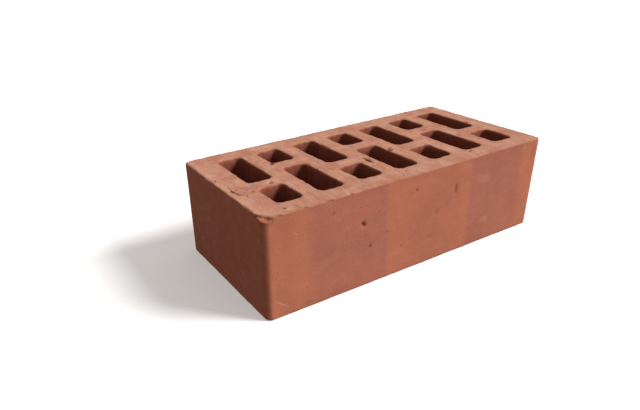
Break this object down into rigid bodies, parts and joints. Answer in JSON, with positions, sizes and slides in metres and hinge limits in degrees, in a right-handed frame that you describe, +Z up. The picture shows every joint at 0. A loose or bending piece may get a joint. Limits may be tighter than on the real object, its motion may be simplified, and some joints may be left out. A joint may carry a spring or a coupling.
{
  "type": "perforated clay brick",
  "caption": "Fired clay brick with staggered long slots and short cores running through from bed to bed.",
  "frame": {"origin": "centre of the lower bed, on the plane the brick lies on", "axes": "+X along the length from header to header, +Y along the width from the front stretcher to the back stretcher, +Z up along the height and along every core"},
  "size_m": [0.24, 0.115, 0.071],
  "materials": {
    "fired_clay": "matt, unglazed, fine-grained, die-smoothed sides and wire-cut beds"
  },
  "bodies": {
    "root": {"brick": "fired_clay"}
  },
  "joints": []
}
